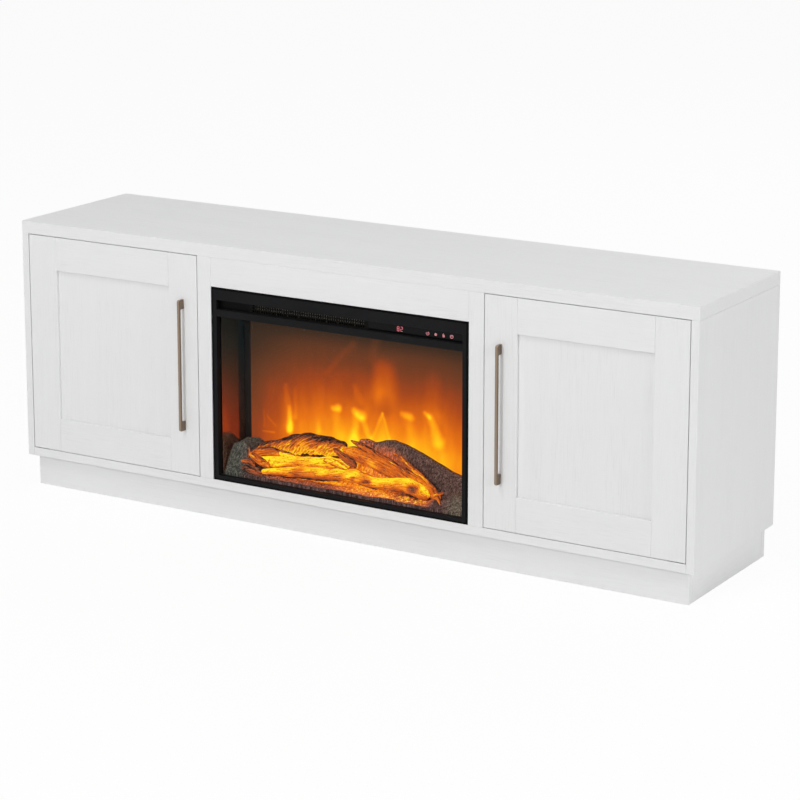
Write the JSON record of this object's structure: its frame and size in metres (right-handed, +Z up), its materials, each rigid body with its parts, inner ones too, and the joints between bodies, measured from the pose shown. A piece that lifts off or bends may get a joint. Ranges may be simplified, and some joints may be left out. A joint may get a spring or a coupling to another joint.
{
  "type": "fireplace tv stand",
  "caption": "Low media cabinet with framed doors on both sides of a built-in electric log fire, for a television to stand on.",
  "frame": {"origin": "on the floor, under the middle of the box that holds the cabinet and its handles", "axes": "+X to the viewer's right along the cabinet, +Y to its back, +Z up"},
  "size_m": [1.727, 0.4186, 0.635],
  "materials": {
    "white_woodgrain": "white paint foil with a pressed wood grain, satin",
    "bronze": "satin champagne bronze",
    "steel": "zinc plated",
    "aluminium": "bare mill finish",
    "black_steel": "satin black powder coat",
    "control_panel": "smooth black with a lit display",
    "glass": "clear tempered glass, lightly smoked",
    "firebox_liner": "gloss black",
    "flame_screen": "translucent, lit from behind with flames",
    "charcoal": "moulded charcoal and ash",
    "bark": "moulded bark",
    "ember": "moulded glowing logs, lit from inside",
    "led_board": "white board with light emitting diodes",
    "black_plastic": "moulded",
    "white_plastic": "moulded",
    "circuit_board": "green board with black components"
  },
  "bodies": {
    "cabinet": {"top_panel": "white_woodgrain", "bottom_panel": "white_woodgrain", "left_side_panel": "white_woodgrain", "right_side_panel": "white_woodgrain", "left_divider": "white_woodgrain", "right_divider": "white_woodgrain", "left_shelf": "white_woodgrain", "right_shelf": "white_woodgrain", "back_panel": "white_woodgrain", "plinth_front_rail": "white_woodgrain", "plinth_back_rail": "white_woodgrain", "plinth_left_rail": "white_woodgrain", "plinth_right_rail": "white_woodgrain", "plinth_center_rail": "white_woodgrain", "fascia_left_stile": "white_woodgrain", "fascia_right_stile": "white_woodgrain", "fascia_top_rail": "white_woodgrain", "left_door_upper_pivot": "steel", "left_door_lower_pivot": "steel", "right_door_upper_pivot": "steel", "right_door_lower_pivot": "steel", "left_magnetic_catch": "white_plastic", "right_magnetic_catch": "white_plastic", "insert_front_frame": "black_steel", "insert_housing": "black_steel", "insert_left_bracket": "steel", "insert_right_bracket": "steel", "vent_grille": "black_steel", "control_panel": "control_panel", "glass_pane": "glass", "firebox_liner": "firebox_liner", "flame_screen": "flame_screen", "ember_bed": "charcoal", "left_log": "bark", "right_log": "bark", "middle_log": "ember", "front_log": "ember", "rotor_motor": "steel", "led_board": "led_board", "blower_casing": "black_steel", "blower_motor": "steel", "heating_element": "aluminium", "control_board": "circuit_board", "cord_gland": "black_plastic"},
    "left_door": {"left_door_hinge_stile": "white_woodgrain", "left_door_handle_stile": "white_woodgrain", "left_door_top_rail": "white_woodgrain", "left_door_bottom_rail": "white_woodgrain", "left_door_panel": "white_woodgrain", "left_door_handle": "bronze", "left_door_strike_plate": "steel"},
    "right_door": {"right_door_hinge_stile": "white_woodgrain", "right_door_handle_stile": "white_woodgrain", "right_door_top_rail": "white_woodgrain", "right_door_bottom_rail": "white_woodgrain", "right_door_panel": "white_woodgrain", "right_door_handle": "bronze", "right_door_strike_plate": "steel"},
    "flame_rotor": {"flame_rotor": "aluminium"},
    "blower_wheel": {"blower_wheel": "black_plastic"}
  },
  "joints": [
    {"name": "left_door_hinge", "type": "hinge", "parent": "cabinet", "child": "left_door", "pos_m": [-0.8397, -0.18655, 0.3495], "axis": [0, 0, -1], "range_deg": [0, 100]},
    {"name": "right_door_hinge", "type": "hinge", "parent": "cabinet", "child": "right_door", "pos_m": [0.8397, -0.18655, 0.3495], "axis": [0, 0, 1], "range_deg": [0, 100]},
    {"name": "flame_rotor_spin", "type": "hinge", "parent": "cabinet", "child": "flame_rotor", "pos_m": [0, -0.03975, 0.1411], "axis": [1, 0, 0], "continuous": true},
    {"name": "blower_wheel_spin", "type": "hinge", "parent": "cabinet", "child": "blower_wheel", "pos_m": [-0.0829, -0.11675, 0.5054], "axis": [1, 0, 0], "continuous": true}
  ]
}
